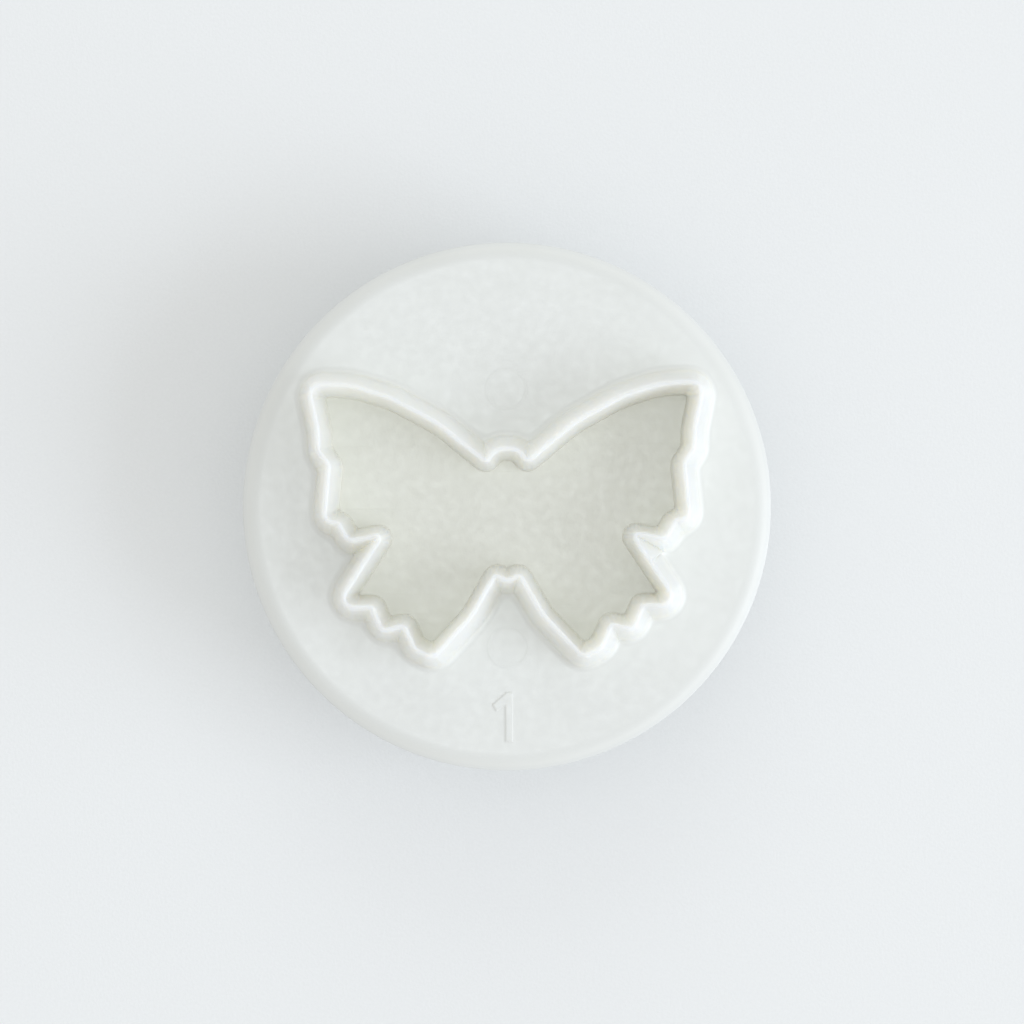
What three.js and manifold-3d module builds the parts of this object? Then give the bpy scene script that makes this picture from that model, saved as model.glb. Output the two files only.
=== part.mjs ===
// Butterfly press-out cutter: a round flange with a butterfly cutting wall on its front, and a sprung
// ejector plate inside the wall that a push knob at the back drives forward to release the dough.
// Millimetres. +Z points out of the cutting edge, +Y to the butterfly's head, +X to its right wing.
// The origin is under the middle of the push knob, on which the cutter stands.
import * as THREE from 'three';
import { mergeVertices } from 'three/addons/utils/BufferGeometryUtils.js';
import Module from 'manifold-3d';

const wasm = await Module();
wasm.setup();

// Flange: a disc with a rounded front edge and a turned-back lip
const DISC_DIAMETER = 65;
const DISC_THICKNESS = 1.8;
const DISC_EDGE_ROUNDING = 2;
const LIP_HEIGHT = 3.6;
const LIP_THICKNESS = 1.8;

// Cutting wall: a thin rim, with a slope on each side of it
const WALL_HEIGHT = 7;
const RIM_WIDTH = 0.55;
const OUTER_SLOPE = 1.6;
const INNER_SLOPE = 1;
const WALL_ROOT_DEPTH = 1;

// Pan behind the wall, closed by a web that carries the stem guide
const PAN_WALL = 1.4;
const WEB_THICKNESS = 1.2;
const GUIDE_WALL = 1;
const GUIDE_CLEARANCE = 0.2;

// Ejector plate and its stem
const PLATE_THICKNESS = 1.5;
const PLATE_CLEARANCE = 0.3;
const PLATE_DEPTH = 0.4;
const STEM_DIAMETER = 6;

// Push knob
const KNOB_DIAMETER = 28;
const KNOB_HEIGHT = 4.6;
const KNOB_FLOOR = 1.4;
const KNOB_ROUNDING = 1.1;
const HUB_HEIGHT = 2.9;
const HUB_DIAMETER = 8.8;
const THUMB_DISH_RADIUS = 9.5;
const THUMB_DISH_DEPTH = 0.4;

// Knob screw
const SCREW_DIAMETER = 2.6;
const SCREW_REACH = 8.4;
const SCREW_TIP = 1.2;
const SCREW_HEAD_DIAMETER = 5.4;
const SCREW_HEAD_HEIGHT = 1.3;
const SCREW_HEAD_RECESS = 0.4;
const CROSS_WIDTH = 0.7;
const CROSS_LENGTH = 3;
const CROSS_DEPTH = 0.8;

// Return spring
const WIRE_DIAMETER = 0.6;
const SPRING_CURLS = 4;
const SPRING_CLEARANCE = 0.5;
const STEPS_PER_CURL = 8;
const WIRE_SIDES = 5;

// Gaps between pieces
const SEAT_GAP = 0.3;
const STROKE_CLEARANCE = 0.4;
const SCREW_CLEARANCE = 0.3;

// Facets
const DISC_SIDES = 96;
const KNOB_SIDES = 48;
const STEM_SIDES = 32;
const SCREW_SIDES = 24;
const ARC_STEPS = 6;
const SMALLEST_RADIUS = 0.15;
const ROUNDING_SHARE = 0.95;

// Corners of the rim's middle line: x, y and rounding radius. The chin lies on the axis of symmetry,
// and the right half runs from it round the tail, the scalloped wing edges and the wing tip to the head.
const CHIN = [0, -9.15, 1.2];
const RIGHT_HALF = [
  [1.45, -8.15, 0.5],
  [4.4, -13.25, 8],
  [9.1, -18.25, 1.2],
  [11.3, -17.05, 1.2],
  [12.5, -14.25, 0.5],
  [15.15, -15, 0.9],
  [16.3, -12, 0.5],
  [20.8, -12.15, 1.2],
  [14.9, -3.2, 0.4],
  [19.1, -4.1, 1],
  [20.35, -1.8, 0.5],
  [22.05, -1.7, 1],
  [21.38, 5.15, 0.9],
  [22.65, 6.85, 0.8],
  [22.7, 9.3, 3],
  [23.85, 14.85, 1.2],
  [18.9, 14.75, 14],
  [14, 13.2, 12],
  [8.2, 10.05, 15],
  [2.42, 5.27, 0.5],
  [1.5, 6.95, 2.2],
];

// Heights, from the knob's base up to the cutting edge
const stroke = WALL_HEIGHT + PLATE_DEPTH;
const webBackZ = KNOB_HEIGHT + stroke + STROKE_CLEARANCE;
const pocketFloorZ = webBackZ + WEB_THICKNESS;
const plateBackZ = pocketFloorZ + SEAT_GAP;
const plateFaceZ = plateBackZ + PLATE_THICKNESS;
const discFaceZ = plateFaceZ + PLATE_DEPTH;
const rimZ = discFaceZ + WALL_HEIGHT;

// Offsets of the wall's edges from the rim's middle line, positive outwards
const rimOuter = RIM_WIDTH / 2;
const rimInner = -RIM_WIDTH / 2;
const wallFoot = rimOuter + OUTER_SLOPE;
const pocketEdge = rimInner - INNER_SLOPE;
const panEdge = pocketEdge + PAN_WALL;
const panMiddle = (pocketEdge + panEdge) / 2;
const plateEdge = pocketEdge - PLATE_CLEARANCE;

// Radii about the stem
const stemRadius = STEM_DIAMETER / 2;
const guideBore = stemRadius + GUIDE_CLEARANCE;
const guideRadius = guideBore + GUIDE_WALL;
const hubRadius = HUB_DIAMETER / 2;
const coilRadius = hubRadius + SPRING_CLEARANCE + WIRE_DIAMETER / 2;
const springRecess = coilRadius + WIRE_DIAMETER / 2 + SPRING_CLEARANCE;
const screwRadius = SCREW_DIAMETER / 2;
const screwHole = screwRadius + SCREW_CLEARANCE;
const screwHeadRadius = SCREW_HEAD_DIAMETER / 2;
const screwHeadHole = screwHeadRadius + SCREW_CLEARANCE;
const screwSeatZ = SCREW_HEAD_RECESS + SCREW_HEAD_HEIGHT;

const plastic = { color: 0xeceee6, roughness: 0.42, metalness: 0 };
const springSteel = { color: 0xb9bcc0, roughness: 0.3, metalness: 1 };
const stainless = { color: 0xc6c8ca, roughness: 0.25, metalness: 1 };

function closedGeometry(geometry) {
  const bare = geometry.clone();
  bare.deleteAttribute('normal');
  bare.deleteAttribute('uv');
  const merged = mergeVertices(bare);
  const kept = [];
  for (let i = 0; i < merged.index.count; i += 3) {
    const [a, b, c] = [0, 1, 2].map((k) => merged.index.getX(i + k));
    if (a !== b && b !== c && c !== a) kept.push(a, b, c);
  }
  merged.setIndex(kept);
  return merged;
}

function toSolid(geometry) {
  const closed = closedGeometry(geometry);
  const vertProperties = new Float32Array(closed.attributes.position.array);
  const triVerts = new Uint32Array(closed.index.array);
  return new wasm.Manifold(new wasm.Mesh({ numProp: 3, vertProperties, triVerts }));
}

function toGeometry(solid) {
  const { vertProperties, triVerts } = solid.getMesh();
  const geometry = new THREE.BufferGeometry();
  geometry.setAttribute('position', new THREE.BufferAttribute(vertProperties, 3));
  geometry.setIndex(new THREE.BufferAttribute(triVerts, 1));
  return geometry;
}

// A turned piece about Z, from a closed loop or an axis-to-axis profile of [radius, height] points
function turned(profile, sides) {
  const points = profile.map(([radius, height]) => new THREE.Vector2(radius, height));
  return new THREE.LatheGeometry(points, sides).rotateX(Math.PI / 2);
}

// A plain round rod along Z
function rod(radius, low, high, sides) {
  return turned([[0, low], [radius, low], [radius, high], [0, high]], sides);
}

// Points of a quarter round in a turned profile, from one angle to another about its centre
function quarter([centreRadius, centreHeight], radius, from, to) {
  const points = [];
  for (let i = 0; i <= ARC_STEPS; i += 1) {
    const angle = from + ((to - from) * i) / ARC_STEPS;
    points.push([centreRadius + radius * Math.cos(angle), centreHeight + radius * Math.sin(angle)]);
  }
  return points;
}

// One corner moved sideways with its two edges, with its rounding kept parallel
function offsetCorner(before, corner, after, radius, offset) {
  const arriving = corner.clone().sub(before).normalize();
  const leaving = after.clone().sub(corner).normalize();
  const arrivingNormal = new THREE.Vector2(arriving.y, -arriving.x);
  const leavingNormal = new THREE.Vector2(leaving.y, -leaving.x);
  const shift = arrivingNormal.clone().add(leavingNormal);
  shift.multiplyScalar(offset / (1 + arrivingNormal.dot(leavingNormal)));
  const bulges = arriving.cross(leaving) > 0;
  const moved = bulges ? radius + offset : radius - offset;
  return { point: corner.clone().add(shift), radius: Math.max(moved, SMALLEST_RADIUS) };
}

// Half the angle between a corner's two edges
function halfAngle(before, corner, after) {
  const back = before.clone().sub(corner).normalize();
  const ahead = after.clone().sub(corner).normalize();
  return Math.acos(back.dot(ahead)) / 2;
}

// The arc that rounds one corner
function cornerArc(before, corner, after, radius) {
  const back = before.clone().sub(corner).normalize();
  const ahead = after.clone().sub(corner).normalize();
  const half = halfAngle(before, corner, after);
  const middle = back.clone().add(ahead).normalize();
  const centre = middle.multiplyScalar(radius / Math.sin(half)).add(corner);
  const start = back.clone().multiplyScalar(radius / Math.tan(half)).add(corner).sub(centre);
  const sweep = (Math.PI - 2 * half) * Math.sign(ahead.cross(back));
  const points = [];
  for (let i = 0; i <= ARC_STEPS; i += 1) {
    const spoke = start.clone().rotateAround(new THREE.Vector2(), (sweep * i) / ARC_STEPS);
    points.push(spoke.add(centre));
  }
  return points;
}

// The butterfly, counterclockwise, at a distance outside the rim's middle line. Two roundings that meet
// on a short edge share its length.
function butterfly(offset) {
  const leftHalf = RIGHT_HALF.map(([x, y, radius]) => [-x, y, radius]).reverse();
  const corners = [CHIN, ...RIGHT_HALF, ...leftHalf];
  const line = corners.map(([x, y]) => new THREE.Vector2(x, y));
  const around = (list, i) => list[(i + list.length) % list.length];
  const moved = corners.map(([, , radius], i) =>
    offsetCorner(around(line, i - 1), line[i], around(line, i + 1), radius, offset));
  const points = moved.map(({ point }) => point);
  const reaches = moved.map(({ point, radius }, i) =>
    radius / Math.tan(halfAngle(around(points, i - 1), point, around(points, i + 1))));
  const shares = points.map((point, i) => {
    const edge = point.distanceTo(around(points, i + 1));
    return Math.min(1, (ROUNDING_SHARE * edge) / (reaches[i] + around(reaches, i + 1)));
  });
  return moved.flatMap(({ point, radius }, i) => {
    const fitted = radius * Math.min(around(shares, i - 1), shares[i]);
    return cornerArc(around(points, i - 1), point, around(points, i + 1), fitted);
  });
}

// A plate of the butterfly's shape
function butterflyPlate(offset, low, high) {
  const shape = new THREE.Shape(butterfly(offset));
  const depth = high - low;
  return new THREE.ExtrudeGeometry(shape, { depth, bevelEnabled: false }).translate(0, 0, low);
}

// A ring that follows the butterfly, from a closed section of [offset, height] points
function butterflyRing(section) {
  const rings = section.map(([offset, z]) => butterfly(offset).map(({ x, y }) => [x, y, z]));
  const count = rings[0].length;
  const index = [];
  rings.forEach((ring, i) => {
    const next = (i + 1) % rings.length;
    ring.forEach((point, k) => {
      const ahead = (k + 1) % count;
      index.push(i * count + k, i * count + ahead, next * count + ahead);
      index.push(i * count + k, next * count + ahead, next * count + k);
    });
  });
  const geometry = new THREE.BufferGeometry();
  geometry.setAttribute('position', new THREE.Float32BufferAttribute(rings.flat(2), 3));
  geometry.setIndex(index);
  return geometry;
}

function flange() {
  const radius = DISC_DIAMETER / 2;
  const lipZ = discFaceZ - LIP_HEIGHT;
  const backZ = discFaceZ - DISC_THICKNESS;
  const rounding = [radius - DISC_EDGE_ROUNDING, discFaceZ - DISC_EDGE_ROUNDING];
  const profile = [
    [0, backZ],
    [radius - LIP_THICKNESS, backZ],
    [radius - LIP_THICKNESS, lipZ],
    [radius, lipZ],
    ...quarter(rounding, DISC_EDGE_ROUNDING, 0, Math.PI / 2),
    [0, discFaceZ],
  ];
  return turned(profile, DISC_SIDES);
}

// The cutting wall and, below the flange, the side of the pan that holds the plate
function cuttingWall() {
  const rootZ = discFaceZ - WALL_ROOT_DEPTH;
  return butterflyRing([
    [wallFoot, discFaceZ],
    [rimOuter, rimZ],
    [rimInner, rimZ],
    [pocketEdge, discFaceZ],
    [pocketEdge, webBackZ],
    [panEdge, webBackZ],
    [panEdge, rootZ],
    [wallFoot, rootZ],
  ]);
}

function cutterBody() {
  const guideEndZ = webBackZ - (KNOB_HEIGHT - HUB_HEIGHT);
  const opening = toSolid(butterflyPlate(panMiddle, webBackZ, rimZ));
  const web = toSolid(butterflyPlate(panMiddle, webBackZ, pocketFloorZ));
  const guide = toSolid(rod(guideRadius, guideEndZ, pocketFloorZ, STEM_SIDES));
  const bore = toSolid(rod(guideBore, guideEndZ - GUIDE_WALL, plateBackZ, STEM_SIDES));
  const disc = toSolid(flange()).subtract(opening);
  return toGeometry(disc.add(toSolid(cuttingWall())).add(web).add(guide).subtract(bore));
}

function ejectorPlate() {
  const boreEndZ = screwSeatZ + SCREW_REACH + SCREW_CLEARANCE;
  const plate = toSolid(butterflyPlate(plateEdge, plateBackZ, plateFaceZ));
  const stem = toSolid(rod(stemRadius, HUB_HEIGHT, plateBackZ + PLATE_THICKNESS / 2, STEM_SIDES));
  const bore = toSolid(rod(screwHole, 0, boreEndZ, SCREW_SIDES));
  return toGeometry(plate.add(stem).subtract(bore));
}

function pushKnob() {
  const radius = KNOB_DIAMETER / 2;
  const inset = radius - KNOB_ROUNDING;
  return turned([
    [screwHole, screwSeatZ],
    [screwHeadHole, screwSeatZ],
    [screwHeadHole, THUMB_DISH_DEPTH],
    [THUMB_DISH_RADIUS - THUMB_DISH_DEPTH, THUMB_DISH_DEPTH],
    [THUMB_DISH_RADIUS, 0],
    ...quarter([inset, KNOB_ROUNDING], KNOB_ROUNDING, -Math.PI / 2, 0),
    ...quarter([inset, KNOB_HEIGHT - KNOB_ROUNDING], KNOB_ROUNDING, 0, Math.PI / 2),
    [springRecess, KNOB_HEIGHT],
    [springRecess, KNOB_FLOOR],
    [hubRadius, KNOB_FLOOR],
    [hubRadius, HUB_HEIGHT],
    [screwHole, HUB_HEIGHT],
    [screwHole, screwSeatZ],
  ], KNOB_SIDES);
}

function knobScrew() {
  const endZ = screwSeatZ + SCREW_REACH;
  const blank = toSolid(turned([
    [0, SCREW_HEAD_RECESS],
    [screwHeadRadius - SCREW_HEAD_HEIGHT / 2, SCREW_HEAD_RECESS],
    [screwHeadRadius, SCREW_HEAD_RECESS + SCREW_HEAD_HEIGHT / 2],
    [screwHeadRadius, screwSeatZ],
    [screwRadius, screwSeatZ],
    [screwRadius, endZ - SCREW_TIP],
    [0, endZ],
  ], SCREW_SIDES));
  const recessZ = SCREW_HEAD_RECESS;
  const slot = new THREE.BoxGeometry(CROSS_LENGTH, CROSS_WIDTH, 2 * CROSS_DEPTH).translate(0, 0, recessZ);
  const crossSlot = slot.clone().rotateZ(Math.PI / 2);
  return toGeometry(blank.subtract(toSolid(slot)).subtract(toSolid(crossSlot)));
}

// The spring wire's middle line: a helix with a short upright end at the knob and at the web
function springPath() {
  const lowZ = KNOB_FLOOR + SEAT_GAP;
  const highZ = webBackZ - SEAT_GAP;
  const firstZ = lowZ + WIRE_DIAMETER;
  const lastZ = highZ - WIRE_DIAMETER;
  const steps = SPRING_CURLS * STEPS_PER_CURL;
  const points = [];
  for (let i = 0; i <= steps; i += 1) {
    const angle = (2 * Math.PI * i) / STEPS_PER_CURL;
    const z = firstZ + ((lastZ - firstZ) * i) / steps;
    points.push(new THREE.Vector3(coilRadius * Math.cos(angle), coilRadius * Math.sin(angle), z));
  }
  const start = points[0].clone().setZ(lowZ);
  const end = points[steps].clone().setZ(highZ);
  return [start, ...points, end];
}

// The least gap between stretches of the wire that are at least half a curl apart
function leastGap(path) {
  let least = Infinity;
  path.forEach((point, i) => {
    path.slice(i + STEPS_PER_CURL / 2).forEach((other) => {
      least = Math.min(least, point.distanceTo(other) - WIRE_DIAMETER);
    });
  });
  return least;
}

// A round wire along a line of points, closed at both ends
function wire(path) {
  const last = path.length - 1;
  const positions = [];
  path.forEach((point, i) => {
    const along = path[Math.min(i + 1, last)].clone().sub(path[Math.max(i - 1, 0)]).normalize();
    const radial = new THREE.Vector3(point.x, point.y, 0).normalize();
    const side = new THREE.Vector3().crossVectors(along, radial).normalize();
    for (let k = 0; k < WIRE_SIDES; k += 1) {
      const angle = (2 * Math.PI * k) / WIRE_SIDES;
      const spoke = radial.clone().multiplyScalar(Math.cos(angle)).addScaledVector(side, Math.sin(angle));
      positions.push(...spoke.multiplyScalar(WIRE_DIAMETER / 2).add(point).toArray());
    }
  });
  const index = [];
  for (let i = 0; i < last; i += 1) {
    for (let k = 0; k < WIRE_SIDES; k += 1) {
      const ahead = (k + 1) % WIRE_SIDES;
      const here = i * WIRE_SIDES;
      const next = here + WIRE_SIDES;
      index.push(here + k, here + ahead, next + ahead, here + k, next + ahead, next + k);
    }
  }
  const end = last * WIRE_SIDES;
  for (let k = 1; k < WIRE_SIDES - 1; k += 1) {
    index.push(0, k + 1, k, end, end + k, end + k + 1);
  }
  const geometry = new THREE.BufferGeometry();
  geometry.setAttribute('position', new THREE.Float32BufferAttribute(positions, 3));
  geometry.setIndex(index);
  return geometry;
}

function returnSpring() {
  const path = springPath();
  console.log(`return_spring: least gap to itself ${leastGap(path).toFixed(2)} mm`);
  return wire(path);
}

const cutter = new THREE.Group();
function addPiece(name, geometry, finish) {
  const piece = new THREE.Mesh(geometry, new THREE.MeshStandardMaterial(finish));
  piece.name = name;
  cutter.add(piece);
}

addPiece('cutter_body', cutterBody(), plastic);
addPiece('ejector_plate', ejectorPlate(), plastic);
addPiece('push_knob', pushKnob(), plastic);
addPiece('knob_screw', knobScrew(), stainless);
addPiece('return_spring', returnSpring(), springSteel);

export default cutter;
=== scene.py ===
"""Looks of the butterfly press-out cutter: fine moulded plastic pieces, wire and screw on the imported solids.

Lengths are in millimetres until a mesh is made, and metres from then on.
"""
import math

import bmesh
import bpy
import numpy as np
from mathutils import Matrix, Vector
from mathutils.geometry import tessellate_polygon


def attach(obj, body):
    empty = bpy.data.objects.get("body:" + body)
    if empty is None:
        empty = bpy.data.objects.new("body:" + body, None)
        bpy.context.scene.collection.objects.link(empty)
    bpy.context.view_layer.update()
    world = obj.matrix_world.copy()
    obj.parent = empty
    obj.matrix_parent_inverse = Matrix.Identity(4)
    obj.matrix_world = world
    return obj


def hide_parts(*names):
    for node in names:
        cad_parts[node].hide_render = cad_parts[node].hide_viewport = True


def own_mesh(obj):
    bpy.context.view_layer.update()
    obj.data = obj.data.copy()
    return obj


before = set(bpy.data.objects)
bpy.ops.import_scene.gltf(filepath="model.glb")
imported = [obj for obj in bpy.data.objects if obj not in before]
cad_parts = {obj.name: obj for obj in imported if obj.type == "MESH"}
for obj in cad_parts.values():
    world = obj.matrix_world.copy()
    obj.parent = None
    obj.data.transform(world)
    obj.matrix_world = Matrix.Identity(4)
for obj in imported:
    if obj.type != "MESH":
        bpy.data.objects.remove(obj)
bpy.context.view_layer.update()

MM = 0.001

# Flange with a shallow rounded bevel along its front edge and a turned-back lip
DISC_RADIUS = 32.5
DISC_FACE = 15.8
DISC_BACK = 14.0
FACE_RADIUS = 30.2
BEVEL_WIDTH = 1.5
BEVEL_DROP = 0.65
BEVEL_ROUNDING = 3.5
EDGE_ROUNDING = 0.2
LIP_END = 12.2
LIP_THICKNESS = 1.8
LIP_OUTER_ROUNDING = 0.45
LIP_INNER_ROUNDING = 0.35
LIP_ROOT_ROUNDING = 0.6
LIP_ROOT_WIDTH = 1.2
FLANGE_SIDES = 360
FLANGE_STEPS = 8

# Cutting wall, given as distances from the rim's middle line
RIM_HEIGHT = 22.8
RIM_HALF = 0.275
WALL_FOOT = 1.875
FOOT_RING = 2.65
FOOT_FILLET = 0.8
RIM_OUTER_ROUNDING = 0.4
RIM_INNER_ROUNDING = 0.25
POCKET_EDGE = -1.275
POCKET_RISE = 0.02
PAN_EDGE = 0.125
PAN_ROOT_ROUNDING = 0.3
PAN_EDGE_ROUNDING = 0.4

# Pan, web and stem guide
WEB_BACK = 12.4
POCKET_FLOOR = 13.6
GUIDE_END = 10.7
GUIDE_RADIUS = 4.2
GUIDE_BORE = 3.2
GUIDE_ROUNDING = 0.3
BORE_ROUNDING = 0.25
GUIDE_SIDES = 72

# Ejector plate and stem
PLATE_EDGE = -1.28
PLATE_BACK = 13.9
PLATE_FACE = 15.4
PLATE_FACE_ROUNDING = 0.01
PLATE_BACK_ROUNDING = 0.15
STEM_RADIUS = 3.0
STEM_END = 2.9
STEM_ROOT_ROUNDING = 0.15
STEM_END_ROUNDING = 0.25
STEM_SIDES = 64
SCREW_HOLE = 1.6
SCREW_HOLE_END = 10.4
SCREW_HOLE_ROUNDING = 0.15

# Push knob
KNOB_RADIUS = 14.0
KNOB_TOP = 4.6
KNOB_FLOOR = 1.4
KNOB_ROUNDING = 1.1
HUB_RADIUS = 4.4
HUB_ROUNDING = 0.25
SPRING_RECESS = 6.0
RECESS_EDGE_ROUNDING = 0.3
RECESS_FLOOR_ROUNDING = 0.2
DISH_RADIUS = 9.5
DISH_DEPTH = 0.4
DISH_SLOPE = 1.2
DISH_ROUNDING = 2.5
DISH_EDGE_ROUNDING = 0.5
KNOB_SIDES = 128

# Knob screw
HEAD_FACE = 0.4
HEAD_SEAT = 1.7
HEAD_RADIUS = 2.7
HEAD_DOME = 0.1
HEAD_ROUNDING = 0.7
HEAD_SEAT_ROUNDING = 0.1
HEAD_STEPS = 10
HEAD_CENTRE = 0.04
HEAD_HOLE = 3.0
HEAD_HOLE_ROUNDING = 0.2
HEAD_HOLE_SEAT_ROUNDING = 0.1
CROSS_REACH = 1.5
CROSS_END_SLOPE = 0.25
CROSS_HALF = 0.36
CROSS_SIDE_SLOPE = 0.12
CROSS_DEPTH = 0.75
CROSS_ZONE = 1.9
CROSS_STEP = 0.05
SHANK_RADIUS = 1.3
SHANK_END = 10.1
THREAD_PITCH = 0.9
THREAD_DEPTH = 0.22
THREAD_STEP = 0.1
TIP_LENGTH = 1.2
TIP_BLUNTNESS = 0.1
SCREW_SIDES = 96

# Return spring
WIRE_RADIUS = 0.3
WIRE_GAP = 0.02
WIRE_SIDES = 12
COIL_RADIUS = 5.2
COIL_TURNS = 5.0
STEPS_PER_TURN = 48
CLOSED_TURNS = 0.9
CLOSED_SPACING = 1.03
OPENING_TURNS = 0.4

# Outline of the rim's middle line: x, y and rounding radius of each corner, counterclockwise from the chin
CHIN = (0, -9.15, 1.2)
RIGHT_HALF = (
    (1.45, -8.15, 0.5),
    (4.4, -13.25, 8),
    (9.1, -18.25, 1.2),
    (11.3, -17.05, 1.2),
    (12.5, -14.25, 0.5),
    (15.15, -15, 0.9),
    (16.3, -12, 0.5),
    (20.8, -12.15, 1.2),
    (14.9, -3.2, 0.4),
    (19.1, -4.1, 1),
    (20.35, -1.8, 0.5),
    (22.05, -1.7, 1),
    (21.38, 5.15, 0.9),
    (22.65, 6.85, 0.8),
    (22.7, 9.3, 3),
    (23.85, 14.85, 1.2),
    (18.9, 14.75, 14),
    (14, 13.2, 12),
    (8.2, 10.05, 15),
    (2.42, 5.27, 0.5),
    (1.5, 6.95, 2.2),
)
SMALLEST_RADIUS = 0.15
ROUNDING_SHARE = 0.95
OUTLINE_STEPS = 10
LINE_POINTS = 1280
NEARNESS = 0.01
EASING = 0.2

# Raised figure one on the flange's face, counterclockwise, and the marks of the mould's pins
NUMERAL = (
    (-0.37, -28.9, 0.1),
    (0.49, -28.9, 0.1),
    (0.49, -22.85, 0.15),
    (-0.2, -22.85, 0.1),
    (-1.95, -24.35, 0.15),
    (-1.5, -25.1, 0.1),
    (-0.37, -24.3, 0.1),
)
NUMERAL_SECTION = (
    (0.3, 0), (0.12, 0), (0.07, 0.014), (0.02, 0.04), (-0.04, 0.068), (-0.12, 0.086), (-0.22, 0.09),
)
NUMERAL_STEPS = 4
PIN_MARKS = ((0, 14.45), (0, -17.3))
PIN_SECTION = ((2.8, 0), (2.6, 0), (2.53, 0.012), (2.46, 0.016), (2.39, 0.012), (2.32, 0), (2.1, 0))
PIN_SIDES = 72

# Stubs of the broken-off gate on the flange's edge: x and how far each stands out
GATE_STUBS = ((-0.86, 0.2), (2.83, 0.16))
GATE_STUB_WIDTH = 0.5
GATE_ROOT = 13.8
GATE_TOP = 13.6
GATE_BOTTOM = 13.0

# Meshes: points nearer than this in metres become one, and edges sharper than this in degrees stay sharp
WELD_DISTANCE = 1e-7
CREASE_ANGLE = 40

# Flat run beside a rounding where a face goes on
FLAT_RUN = 1

# Finishes: the range that most of a noise lies in, and the share of a speck's radius that is fully dark
NOISE_LOW = 0.3
NOISE_HIGH = 0.7
SPECK_CORE = 0.5


def along(vectors):
    """The rows of an array as unit vectors."""
    return vectors / np.linalg.norm(vectors, axis=1)[:, None]


def cross(a, b):
    """Row by row, which way b turns from a."""
    return a[:, 0] * b[:, 1] - a[:, 1] * b[:, 0]


def outline(corners, offset, steps):
    """A polygon with rounded corners at a distance outside its line.

    It has as many points at every distance.
    """
    corners = np.array(corners, float)
    line, radii = corners[:, :2], corners[:, 2]
    arriving = along(line - np.roll(line, 1, 0))
    leaving = np.roll(arriving, -1, 0)
    normal_in = np.stack([arriving[:, 1], -arriving[:, 0]], 1)
    normal_out = np.stack([leaving[:, 1], -leaving[:, 0]], 1)
    spread = offset / (1 + np.sum(normal_in * normal_out, 1))
    points = line + (normal_in + normal_out) * spread[:, None]
    radii = np.maximum(radii + offset * np.sign(cross(arriving, leaving)), SMALLEST_RADIUS)
    back = along(np.roll(points, 1, 0) - points)
    ahead = along(np.roll(points, -1, 0) - points)
    half = np.arccos(np.sum(back * ahead, 1)) / 2
    reach = radii / np.tan(half)
    edge = np.linalg.norm(np.roll(points, -1, 0) - points, axis=1)
    share = np.minimum(1, ROUNDING_SHARE * edge / (reach + np.roll(reach, -1)))
    radii = radii * np.minimum(share, np.roll(share, 1))
    centre = points + along(back + ahead) * (radii / np.sin(half))[:, None]
    start = points + back * (radii / np.tan(half))[:, None] - centre
    sweep = (math.pi - 2 * half) * np.sign(cross(ahead, back))
    turn = sweep[:, None] * np.linspace(0, 1, steps + 1)
    x = centre[:, :1] + start[:, :1] * np.cos(turn) - start[:, 1:] * np.sin(turn)
    y = centre[:, 1:] + start[:, :1] * np.sin(turn) + start[:, 1:] * np.cos(turn)
    return np.stack([x.ravel(), y.ravel()], 1)


def lengths(line):
    """How far along a closed line each of its points lies, with its whole length last."""
    return np.concatenate([[0], np.cumsum(np.abs(np.append(line[1:], line[0]) - line))])


def points_at(line, places):
    """Points of a closed line at distances along it."""
    closed, travelled = np.append(line, line[0]), lengths(line)
    return np.interp(places, travelled, closed.real) + 1j * np.interp(places, travelled, closed.imag)


def evenly(line, count):
    """Points at even steps along a closed line."""
    return points_at(line, np.arange(count) * lengths(line)[-1] / count)


def rim_line():
    """The rim's middle line as complex numbers, at even steps."""
    left_half = [(-x, y, radius) for x, y, radius in reversed(RIGHT_HALF)]
    points = outline([CHIN, *RIGHT_HALF, *left_half], 0, OUTLINE_STEPS)
    return evenly(points[:, 0] + 1j * points[:, 1], LINE_POINTS)


RIM = rim_line()


def butterfly(offset):
    """The butterfly at a distance outside the rim's middle line, its corners eased with the distance."""
    tangent = np.roll(RIM, -1) - np.roll(RIM, 1)
    moved = RIM - 1j * offset * tangent / np.abs(tangent)
    nearest = np.abs(moved[:, None] - RIM[None, :]).min(1)
    clear = np.flatnonzero(nearest > abs(offset) - NEARNESS)
    order = np.arange(LINE_POINTS)
    line = np.interp(order, clear, moved[clear].real, period=LINE_POINTS)
    line = line + 1j * np.interp(order, clear, moved[clear].imag, period=LINE_POINTS)
    whole = lengths(line)[-1]
    waves = np.fft.fftfreq(LINE_POINTS, whole / LINE_POINTS)
    kept_share = np.exp(-2 * (math.pi * waves * EASING * offset) ** 2)
    eased = np.fft.ifft(np.fft.fft(evenly(line, LINE_POINTS)) * kept_share)
    points = points_at(eased, lengths(line)[:-1] * lengths(eased)[-1] / whole)
    return np.stack([points.real, points.imag], 1)


def circle(radius, sides, middle=(0, 0)):
    """Points round a circle."""
    angles = np.arange(sides) * 2 * math.pi / sides
    return np.stack([middle[0] + radius * np.cos(angles), middle[1] + radius * np.sin(angles)], 1)


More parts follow.
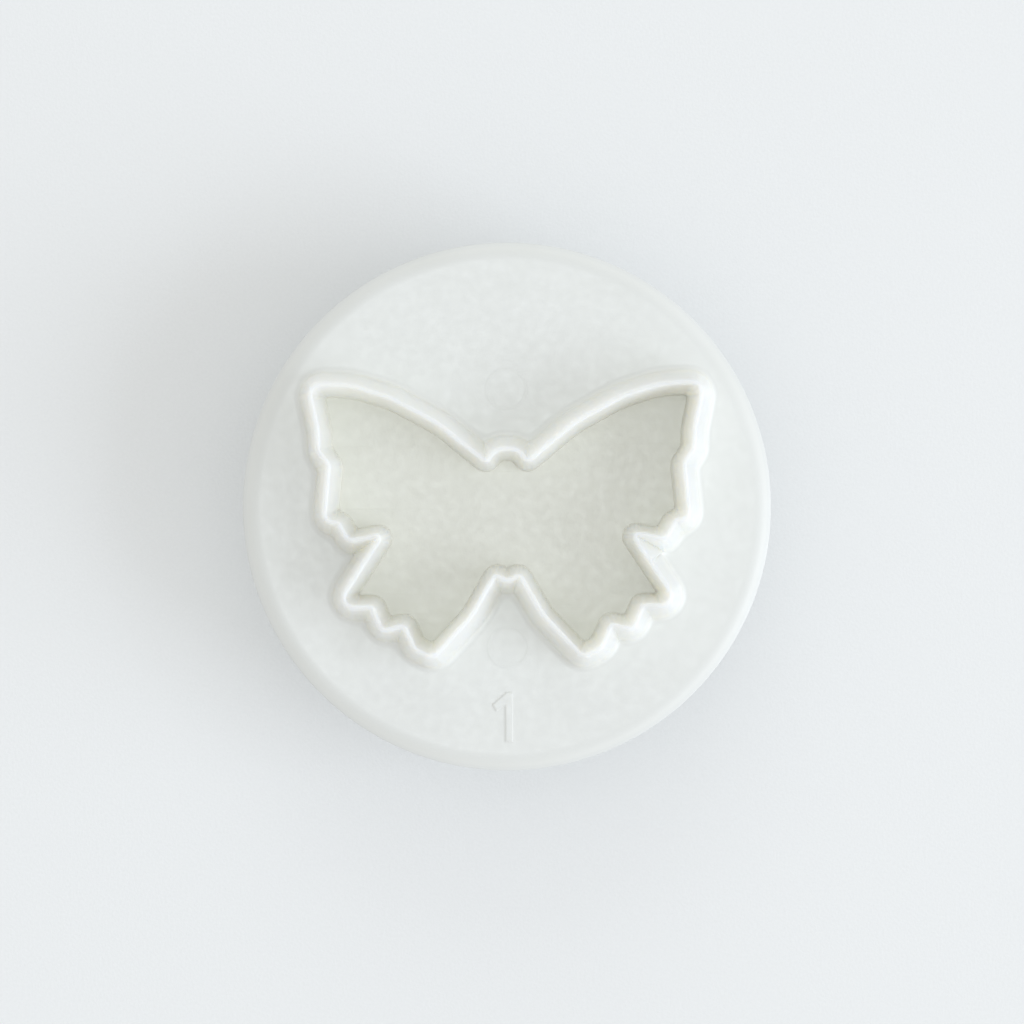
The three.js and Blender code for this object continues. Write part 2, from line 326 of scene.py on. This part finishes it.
def rounded(corners, steps=6):
    """A profile of (across, height) points, from corners of (across, height, rounding radius)."""
    points = []
    for i, (across, height, radius) in enumerate(corners):
        corner = np.array([across, height], float)
        if radius == 0:
            points.append(tuple(corner))
            continue
        back = np.array(corners[i - 1][:2], float) - corner
        ahead = np.array(corners[i + 1][:2], float) - corner
        back = back / np.linalg.norm(back)
        ahead = ahead / np.linalg.norm(ahead)
        half = math.acos(back @ ahead) / 2
        middle = (back + ahead) / np.linalg.norm(back + ahead)
        centre = corner + middle * radius / math.sin(half)
        start = corner + back * radius / math.tan(half) - centre
        sweep = (math.pi - 2 * half) * np.sign(ahead[0] * back[1] - ahead[1] * back[0])
        for k in range(steps + 1):
            c = math.cos(sweep * k / steps)
            s = math.sin(sweep * k / steps)
            points.append((centre[0] + start[0] * c - start[1] * s, centre[1] + start[0] * s + start[1] * c))
    return points


class Shell:
    """Rings of points and the faces between them, which together become one mesh."""

    def __init__(self):
        self.points = []
        self.faces = []

    def ring(self, flat, height):
        """A ring of flat points at one height, or at a height for each point."""
        first = len(self.points)
        heights = np.broadcast_to(height, len(flat))
        self.points += [(x, y, z) for (x, y), z in zip(flat, heights)]
        return list(range(first, len(self.points)))

    def strip(self, rings):
        """Faces from each ring to the next one."""
        for low, high in zip(rings, rings[1:]):
            for k in range(len(low)):
                j = (k + 1) % len(low)
                self.faces.append((low[k], low[j], high[j], high[k]))
        return rings

    def turned(self, profile, sides, middle=(0, 0)):
        """A turned surface about an upright axis."""
        return self.strip([self.ring(circle(radius, sides, middle), height) for radius, height in profile])

    def around(self, profile):
        """A surface that follows the butterfly, from (distance, height) points."""
        return self.strip([self.ring(butterfly(offset), height) for offset, height in profile])

    def cap(self, outer, *holes):
        """A flat face inside a ring, with holes."""
        loops = (outer, *holes)
        indices = [i for loop in loops for i in loop]
        outlines = [[Vector(self.points[i]) for i in loop] for loop in loops]
        self.faces += [tuple(indices[k] for k in triangle) for triangle in tessellate_polygon(outlines)]

    def build(self, name, material):
        """The mesh as an object, with flat faces shaded flat and roundings shaded smooth."""
        mesh = bpy.data.meshes.new(name)
        mesh.from_pydata([tuple(c * MM for c in point) for point in self.points], [], self.faces)
        work = bmesh.new()
        work.from_mesh(mesh)
        bmesh.ops.remove_doubles(work, verts=work.verts, dist=WELD_DISTANCE)
        bmesh.ops.dissolve_degenerate(work, edges=work.edges, dist=WELD_DISTANCE)
        bmesh.ops.recalc_face_normals(work, faces=work.faces)
        work.to_mesh(mesh)
        work.free()
        mesh.shade_smooth()
        mesh.set_sharp_from_angle(angle=math.radians(CREASE_ANGLE))
        mesh.materials.append(material)
        piece = bpy.data.objects.new(name, mesh)
        bpy.context.scene.collection.objects.link(piece)
        weighted = piece.modifiers.new("flat_faces", "WEIGHTED_NORMAL")
        weighted.keep_sharp = True
        return piece


def place(piece, body, node):
    """Lets a piece ride on a body and stand for a solid, whose imported mesh is hidden."""
    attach(piece, body)
    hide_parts(node)


class Finish:
    """A node material that is put together step by step."""

    def __init__(self, name):
        self.material = bpy.data.materials.new(name)
        self.material.use_nodes = True
        self.nodes = self.material.node_tree.nodes
        self.links = self.material.node_tree.links
        self.shader = self.nodes["Principled BSDF"]
        self.place = self.nodes.new("ShaderNodeTexCoord").outputs["Object"]

    def set(self, **values):
        for name, value in values.items():
            self.shader.inputs[name.replace("_", " ")].default_value = value

    def stretched(self, scale):
        mapping = self.nodes.new("ShaderNodeMapping")
        mapping.inputs["Scale"].default_value = scale
        self.links.new(self.place, mapping.inputs["Vector"])
        return mapping.outputs["Vector"]

    def noise(self, scale, detail=2.0, rough=0.5, vector=None):
        node = self.nodes.new("ShaderNodeTexNoise")
        node.inputs["Scale"].default_value = scale
        node.inputs["Detail"].default_value = detail
        node.inputs["Roughness"].default_value = rough
        self.links.new(vector or self.place, node.inputs["Vector"])
        return node.outputs["Fac"]

    def mapped(self, value, low, high, to_low, to_high):
        node = self.nodes.new("ShaderNodeMapRange")
        for name, number in (("From Min", low), ("From Max", high), ("To Min", to_low), ("To Max", to_high)):
            node.inputs[name].default_value = number
        self.links.new(value, node.inputs["Value"])
        return node.outputs["Result"]

    def spread(self, noise, to_low, to_high):
        """A noise with its usual range spread over another one."""
        return self.mapped(noise, NOISE_LOW, NOISE_HIGH, to_low, to_high)

    def math(self, operation, first, second):
        node = self.nodes.new("ShaderNodeMath")
        node.operation = operation
        for socket, value in zip(node.inputs, (first, second)):
            if isinstance(value, float):
                socket.default_value = value
            else:
                self.links.new(value, socket)
        return node.outputs["Value"]

    def mix(self, share, first, second):
        node = self.nodes.new("ShaderNodeMix")
        node.data_type = "RGBA"
        self.links.new(share, node.inputs["Factor"])
        sockets = [s for s in node.inputs if s.type == "RGBA"]
        for socket, value in zip(sockets, (first, second)):
            if isinstance(value, tuple):
                socket.default_value = (*value, 1)
            else:
                self.links.new(value, socket)
        return [s for s in node.outputs if s.type == "RGBA"][0]

    def specks(self, scale, size, rarity):
        """A mask of a few small round specks."""
        node = self.nodes.new("ShaderNodeTexVoronoi")
        node.inputs["Scale"].default_value = scale
        self.links.new(self.place, node.inputs["Vector"])
        spot = self.mapped(node.outputs["Distance"], size * scale * SPECK_CORE, size * scale, 1.0, 0.0)
        split = self.nodes.new("ShaderNodeSeparateColor")
        self.links.new(node.outputs["Color"], split.inputs["Color"])
        kept = self.math("GREATER_THAN", split.outputs["Red"], rarity)
        return self.math("MULTIPLY", spot, kept)

    def by_height(self, low, high, to_low, to_high):
        """A value that changes with the height above the table."""
        split = self.nodes.new("ShaderNodeSeparateXYZ")
        self.links.new(self.place, split.inputs["Vector"])
        return self.mapped(split.outputs["Z"], low * MM, high * MM, to_low, to_high)

    def steepness(self):
        """From nothing on a level face to one on an upright face."""
        split = self.nodes.new("ShaderNodeSeparateXYZ")
        self.links.new(self.nodes.new("ShaderNodeNewGeometry").outputs["Normal"], split.inputs["Vector"])
        return self.mapped(split.outputs["Z"], 0, 1, 1, 0)

    def colour(self, value):
        self.links.new(value, self.shader.inputs["Base Color"])

    def rough(self, value):
        self.links.new(value, self.shader.inputs["Roughness"])

    def bump(self, *layers):
        """Heights as (value, depth in metres, strength), the finest last."""
        normal = None
        for value, depth, strength in layers:
            node = self.nodes.new("ShaderNodeBump")
            node.inputs["Strength"].default_value = strength
            node.inputs["Distance"].default_value = depth
            self.links.new(value, node.inputs["Height"])
            if normal:
                self.links.new(normal, node.inputs["Normal"])
            normal = node.outputs["Normal"]
        self.links.new(normal, self.shader.inputs["Normal"])


def moulded_plastic(name, light, dark, speck_rarity):
    """Ivory moulded plastic: satin, fine-grained, slightly cloudy, with a few specks.

    The wall's steep sides are milky. Their base colour is also made lighter as painted light, most at their
    foot, which stands for light coming through them and lifts the shade there.
    """
    # Painted light: a lighter base colour on the wall's steep faces, full at the foot and fading upwards to a
    # share of it
    painted_wall_light = (0.9, 0.885, 0.8)
    painted_light_start = 0.1
    painted_light_fade = 3
    painted_light_left = 0.4
    milky_height = 1.7
    dust_tone = (0.5, 0.47, 0.4)
    dust_strength = 0.4
    ripple_depth = 0.000015
    grain_depth = 0.000006
    finish = Finish(name)
    cloud = finish.spread(finish.noise(scale=120, detail=3), 0, 1)
    tone = finish.mix(cloud, light, dark)
    # Share of the painted light: steep faces above the plate, full at the wall's foot and less higher up
    above_plate = finish.by_height(PLATE_FACE - painted_light_start, PLATE_FACE, 0, 1)
    painted_light_fading = finish.by_height(DISC_FACE, DISC_FACE + painted_light_fade, 1, painted_light_left)
    wall = finish.math("MULTIPLY", above_plate, painted_light_fading)
    tone = finish.mix(finish.math("MULTIPLY", wall, finish.steepness()), tone, painted_wall_light)
    specks = finish.specks(scale=420, size=0.00013, rarity=speck_rarity)
    dust = finish.mapped(specks, 0, 1, 0, dust_strength)
    finish.colour(finish.mix(dust, tone, dust_tone))
    finish.rough(finish.spread(finish.noise(scale=900, detail=3), 0.36, 0.46))
    ripple = finish.noise(scale=260, detail=2)
    grain = finish.noise(scale=7000, detail=2)
    finish.bump((ripple, ripple_depth, 0.25), (grain, grain_depth, 0.5))
    finish.set(IOR=1.49, Subsurface_Radius=(1.0, 0.88, 0.68), Subsurface_Scale=0.009)
    milkiness = finish.by_height(DISC_FACE, DISC_FACE + milky_height, 0, 1)
    finish.links.new(milkiness, finish.shader.inputs["Subsurface Weight"])
    return finish.material


def drawn_steel(name, light, dark, stretch):
    """Bright steel with fine drawing lines."""
    line_depth = 0.000004
    finish = Finish(name)
    lines = finish.noise(scale=1, detail=4, rough=0.6, vector=finish.stretched(stretch))
    finish.colour(finish.mix(lines, light, dark))
    finish.rough(finish.spread(lines, 0.2, 0.36))
    finish.bump((lines, line_depth, 0.4))
    finish.set(Metallic=1.0)
    return finish.material


def table_top():
    """A pale matte table with a fine grain and a few specks."""
    dark = (0.772, 0.782, 0.78)
    light = (0.792, 0.802, 0.8)
    dust_tone = (0.4, 0.4, 0.4)
    dust_strength = 0.35
    grain_depth = 0.00003
    finish = Finish("pale_table")
    grain = finish.spread(finish.noise(scale=2600, detail=3, rough=0.6), 0, 1)
    tone = finish.mix(grain, dark, light)
    dust = finish.mapped(finish.specks(scale=90, size=0.00016, rarity=0.88), 0, 1, 0, dust_strength)
    finish.colour(finish.mix(dust, tone, dust_tone))
    finish.rough(finish.mapped(grain, 0, 1, 0.62, 0.72))
    finish.bump((grain, grain_depth, 0.3))
    finish.set(Specular_IOR_Level=0.2)
    return finish.material


ivory = moulded_plastic(
    "ivory_plastic", light=(0.697, 0.708, 0.685), dark=(0.682, 0.693, 0.667), speck_rarity=0.985,
)
# Painted shade: the plate's plastic is darker and warmer than the flange's, standing for the shade on the
# floor inside the wall
plate_ivory_painted_shade = moulded_plastic(
    "ivory_plastic_plate_painted_shade", light=(0.662, 0.665, 0.603), dark=(0.647, 0.65, 0.586), speck_rarity=0.96,
)
wire_steel = drawn_steel(
    "spring_wire", light=(0.52, 0.53, 0.55), dark=(0.44, 0.45, 0.47), stretch=(900, 900, 9000),
)
screw_steel = drawn_steel(
    "screw_steel", light=(0.62, 0.63, 0.64), dark=(0.54, 0.55, 0.56), stretch=(5000, 5000, 900),
)


def moulded_body():
    """Flange, cutting wall, pan and stem guide in one moulding."""
    shell = Shell()
    radius = DISC_RADIUS
    inner = radius - LIP_THICKNESS
    flange = shell.turned(rounded([
        (FACE_RADIUS, DISC_FACE, 0),
        (radius - BEVEL_WIDTH, DISC_FACE, BEVEL_ROUNDING),
        (radius, DISC_FACE - BEVEL_DROP, EDGE_ROUNDING),
        (radius, GATE_ROOT, 0),
        (radius, GATE_TOP, 0),
        (radius, GATE_BOTTOM, 0),
        (radius, LIP_END, LIP_OUTER_ROUNDING),
        (inner, LIP_END, LIP_INNER_ROUNDING),
        (inner, DISC_BACK, LIP_ROOT_ROUNDING),
        (inner - LIP_ROOT_WIDTH, DISC_BACK, 0),
    ], FLANGE_STEPS), FLANGE_SIDES)
    for i in (i for ring in flange for i in ring):
        x, y, z = shell.points[i]
        on_edge = math.hypot(x, y) > (inner + radius) / 2
        if on_edge and y < 0 and GATE_BOTTOM <= z <= GATE_TOP:
            stub = sum(rise * math.exp(-((x - middle) / GATE_STUB_WIDTH) ** 2) for middle, rise in GATE_STUBS)
            shell.points[i] = (x * (1 + stub / radius), y * (1 + stub / radius), z)
    wall = shell.around(rounded([
        (FOOT_RING, DISC_FACE, 0),
        (WALL_FOOT, DISC_FACE, FOOT_FILLET),
        (RIM_HALF, RIM_HEIGHT, RIM_OUTER_ROUNDING),
        (-RIM_HALF, RIM_HEIGHT, RIM_INNER_ROUNDING),
        (POCKET_EDGE, PLATE_FACE + POCKET_RISE, 0),
        (POCKET_EDGE, POCKET_FLOOR, 0),
    ]))
    pan = shell.around(rounded([
        (PAN_EDGE + FLAT_RUN, DISC_BACK, 0),
        (PAN_EDGE, DISC_BACK, PAN_ROOT_ROUNDING),
        (PAN_EDGE, WEB_BACK, PAN_EDGE_ROUNDING),
        (PAN_EDGE - FLAT_RUN, WEB_BACK, 0),
    ])[1:])
    guide = shell.turned(rounded([
        (GUIDE_RADIUS + FLAT_RUN, WEB_BACK, 0),
        (GUIDE_RADIUS, WEB_BACK, GUIDE_ROUNDING),
        (GUIDE_RADIUS, GUIDE_END, GUIDE_ROUNDING),
        (GUIDE_BORE, GUIDE_END, BORE_ROUNDING),
        (GUIDE_BORE, POCKET_FLOOR, 0),
    ]), GUIDE_SIDES)
    figure = shell.strip([
        shell.ring(outline(NUMERAL, offset, NUMERAL_STEPS), DISC_FACE + rise)
        for offset, rise in NUMERAL_SECTION
    ])
    mark_profile = [(radius, DISC_FACE + rise) for radius, rise in PIN_SECTION]
    marks = [shell.turned(mark_profile, PIN_SIDES, middle) for middle in PIN_MARKS]
    for feature in (figure, *marks):
        shell.cap(feature[-1])
    shell.cap(flange[0], wall[0], figure[0], *(mark[0] for mark in marks))
    shell.cap(flange[-1], pan[0])
    shell.cap(pan[-1], guide[0])
    shell.cap(wall[-1], guide[-1])
    return shell.build("moulded_body", ivory)


def ejector():
    """The plate that pushes the dough out, on its hollow stem."""
    shell = Shell()
    plate = shell.around(rounded([
        (PLATE_EDGE - FLAT_RUN, PLATE_FACE, 0),
        (PLATE_EDGE, PLATE_FACE, PLATE_FACE_ROUNDING),
        (PLATE_EDGE, PLATE_BACK, PLATE_BACK_ROUNDING),
        (PLATE_EDGE - FLAT_RUN, PLATE_BACK, 0),
    ])[1:-1])
    stem = shell.turned(rounded([
        (STEM_RADIUS + FLAT_RUN, PLATE_BACK, 0),
        (STEM_RADIUS, PLATE_BACK, STEM_ROOT_ROUNDING),
        (STEM_RADIUS, STEM_END, STEM_END_ROUNDING),
        (SCREW_HOLE, STEM_END, SCREW_HOLE_ROUNDING),
        (SCREW_HOLE, SCREW_HOLE_END, 0),
    ])[1:], STEM_SIDES)
    shell.cap(plate[0])
    shell.cap(plate[-1], stem[0])
    shell.cap(stem[-1])
    return shell.build("ejector", plate_ivory_painted_shade)


def knob():
    """The push knob with its thumb dish, hub and spring recess."""
    shell = Shell()
    rings = shell.turned(rounded([
        (SCREW_HOLE, HEAD_SEAT, 0),
        (HEAD_HOLE, HEAD_SEAT, HEAD_HOLE_SEAT_ROUNDING),
        (HEAD_HOLE, DISH_DEPTH, HEAD_HOLE_ROUNDING),
        (DISH_RADIUS - DISH_SLOPE, DISH_DEPTH, DISH_ROUNDING),
        (DISH_RADIUS, 0, DISH_EDGE_ROUNDING),
        (KNOB_RADIUS, 0, KNOB_ROUNDING),
        (KNOB_RADIUS, KNOB_TOP, KNOB_ROUNDING),
        (SPRING_RECESS, KNOB_TOP, RECESS_EDGE_ROUNDING),
        (SPRING_RECESS, KNOB_FLOOR, RECESS_FLOOR_ROUNDING),
        (HUB_RADIUS, KNOB_FLOOR, RECESS_FLOOR_ROUNDING),
        (HUB_RADIUS, STEM_END, HUB_ROUNDING),
        (SCREW_HOLE, STEM_END, 0),
    ]), KNOB_SIDES)
    shell.strip([rings[-1], rings[0]])
    return shell.build("knob", ivory)


def screw():
    """A pan-head screw with a cross recess and a cut thread."""
    shell = Shell()
    head = rounded([
        (HEAD_CENTRE, HEAD_FACE, 0),
        (HEAD_RADIUS, HEAD_FACE + HEAD_DOME, HEAD_ROUNDING),
        (HEAD_RADIUS, HEAD_SEAT, HEAD_SEAT_ROUNDING),
        (SHANK_RADIUS - THREAD_DEPTH, HEAD_SEAT, 0),
    ], HEAD_STEPS)
    reaches = np.arange(HEAD_CENTRE, CROSS_ZONE, CROSS_STEP)
    inner = [(reach, HEAD_FACE + HEAD_DOME * reach / HEAD_RADIUS) for reach in reaches]
    rings = []
    for radius, height in [*inner, *head[1:]]:
        points = circle(radius, SCREW_SIDES)
        x = np.abs(points[:, 0])
        y = np.abs(points[:, 1])
        long_way = np.minimum((CROSS_REACH - x) / CROSS_END_SLOPE, (CROSS_HALF - y) / CROSS_SIDE_SLOPE)
        cross_way = np.minimum((CROSS_REACH - y) / CROSS_END_SLOPE, (CROSS_HALF - x) / CROSS_SIDE_SLOPE)
        sunk = np.clip(np.maximum(long_way, cross_way), 0, 1)
        rings.append(shell.ring(points, height + CROSS_DEPTH * sunk * sunk * (3 - 2 * sunk)))
    turns = np.arange(SCREW_SIDES) / SCREW_SIDES
    for height in np.arange(HEAD_SEAT + THREAD_STEP, SHANK_END, THREAD_STEP):
        wave = np.abs(((height / THREAD_PITCH - turns) % 1) * 2 - 1)
        taper = min(1, (SHANK_END - height) / TIP_LENGTH + TIP_BLUNTNESS)
        radius = (SHANK_RADIUS - THREAD_DEPTH * wave) * taper
        rings.append(shell.ring(circle(1, SCREW_SIDES) * radius[:, None], height))
    shell.strip(rings)
    shell.cap(rings[0])
    shell.cap(rings[-1])
    return shell.build("screw", screw_steel)


def spring():
    """A compression spring of round wire with closed ends."""
    low = KNOB_FLOOR + WIRE_RADIUS + WIRE_GAP
    high = WEB_BACK - WIRE_RADIUS - WIRE_GAP
    turns = np.linspace(0, COIL_TURNS, int(COIL_TURNS * STEPS_PER_TURN) + 1)
    from_end = np.minimum(turns, COIL_TURNS - turns)
    inside = np.clip((from_end - CLOSED_TURNS) / OPENING_TURNS + 0.5, 0, 1)
    free = inside * inside * (3 - 2 * inside)
    between = (free[1:] + free[:-1]) / 2
    step = turns[1]
    closed_rise = 2 * WIRE_RADIUS * CLOSED_SPACING * np.concatenate([[0], np.cumsum(1 - between)]) * step
    free_rise = np.concatenate([[0], np.cumsum(between)]) * step
    heights = low + closed_rise + free_rise * (high - low - closed_rise[-1]) / free_rise[-1]
    angles = turns * 2 * math.pi
    centres = np.stack([COIL_RADIUS * np.cos(angles), COIL_RADIUS * np.sin(angles), heights], 1)
    run = along(np.gradient(centres, axis=0))
    radial = np.stack([np.cos(angles), np.sin(angles), np.zeros_like(angles)], 1)
    side = np.cross(run, radial)
    shell = Shell()
    rings = []
    spokes = np.arange(WIRE_SIDES) * 2 * math.pi / WIRE_SIDES
    for centre, out, up in zip(centres, radial, side):
        first = len(shell.points)
        shell.points += [tuple(centre + WIRE_RADIUS * (math.cos(a) * out + math.sin(a) * up)) for a in spokes]
        rings.append(list(range(first, first + len(spokes))))
    shell.strip(rings)
    shell.faces += [tuple(rings[0]), tuple(rings[-1])]
    return shell.build("spring", wire_steel)


place(moulded_body(), "cutter", "cutter_body")
place(ejector(), "plunger", "ejector_plate")
place(knob(), "plunger", "push_knob")
place(screw(), "plunger", "knob_screw")
coil = spring()
place(coil, "cutter", "return_spring")
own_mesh(coil)

# Table
TABLE_HALF = 1.5
table_corners = [(x * TABLE_HALF, y * TABLE_HALF, 0) for x, y in ((-1, -1), (1, -1), (1, 1), (-1, 1))]
table_mesh = bpy.data.meshes.new("table")
table_mesh.from_pydata(table_corners, [], [(0, 1, 2, 3)])
table_mesh.materials.append(table_top())
table = bpy.data.objects.new("table", table_mesh)
bpy.context.scene.collection.objects.link(table)

# Light: soft lamps, given as azimuth and elevation in degrees, size in metres, power and colour
LAMP_DISTANCE = 3.0
LAMPS = (
    ("window", -15, 22, 2.0, 46.5, (0.93, 1.0, 1.12)),
    ("overhead", 0, 90, 0.4, 18.2, (0.95, 1.0, 1.03)),
    ("side", 90, 20, 2.0, 15.5, (0.92, 1.0, 1.02)),
    ("front", -45, 20, 2.0, 8.7, (0.93, 1.0, 1.1)),
)
scene = bpy.context.scene
for name, azimuth, elevation, size, power, colour in LAMPS:
    data = bpy.data.lights.new(name, "AREA")
    data.energy = power
    data.color = colour
    data.size = size
    lamp = bpy.data.objects.new(name, data)
    turn = math.radians(azimuth)
    rise = math.radians(elevation)
    towards = Vector((math.cos(turn) * math.cos(rise), math.sin(turn) * math.cos(rise), math.sin(rise)))
    lamp.location = towards * LAMP_DISTANCE
    lamp.rotation_euler = towards.to_track_quat("Z", "Y").to_euler()
    lamp.visible_camera = False
    scene.collection.objects.link(lamp)

# Room: the light that it gives, and the lighter tone that is seen beyond the table and in reflections
ROOM_COLOUR = (0.635, 0.629, 0.62, 1)
SEEN_COLOUR = (0.88, 0.9, 0.91, 1)
world = bpy.data.worlds.new("room")
scene.world = world
world.use_nodes = True
tree = world.node_tree
room = tree.nodes["Background"]
room.inputs["Color"].default_value = ROOM_COLOUR
seen = tree.nodes.new("ShaderNodeBackground")
seen.inputs["Color"].default_value = SEEN_COLOUR
path = tree.nodes.new("ShaderNodeLightPath")
is_seen = path.outputs["Is Camera Ray"]
for kind in ("Is Glossy Ray", "Is Transmission Ray"):
    either = tree.nodes.new("ShaderNodeMath")
    either.operation = "MAXIMUM"
    tree.links.new(is_seen, either.inputs[0])
    tree.links.new(path.outputs[kind], either.inputs[1])
    is_seen = either.outputs["Value"]
mixed = tree.nodes.new("ShaderNodeMixShader")
tree.links.new(is_seen, mixed.inputs["Fac"])
tree.links.new(room.outputs["Background"], mixed.inputs[1])
tree.links.new(seen.outputs["Background"], mixed.inputs[2])
tree.links.new(mixed.outputs["Shader"], tree.nodes["World Output"].inputs["Surface"])

# Camera straight above the flange, with its width of view at the flange's face and its roll in degrees
CAMERA_DISTANCE = 330
VIEW_WIDTH = 125.8
CAMERA_X = 0.616
CAMERA_Y = -0.678
CAMERA_ROLL = -0.4
camera_data = bpy.data.cameras.new("camera")
camera_data.angle = 2 * math.atan(VIEW_WIDTH / 2 / CAMERA_DISTANCE)
camera = bpy.data.objects.new("camera", camera_data)
camera.location = (CAMERA_X * MM, CAMERA_Y * MM, (DISC_FACE + CAMERA_DISTANCE) * MM)
camera.rotation_euler.z = math.radians(CAMERA_ROLL)
scene.collection.objects.link(camera)
scene.camera = camera
scene.view_settings.view_transform = "Standard"
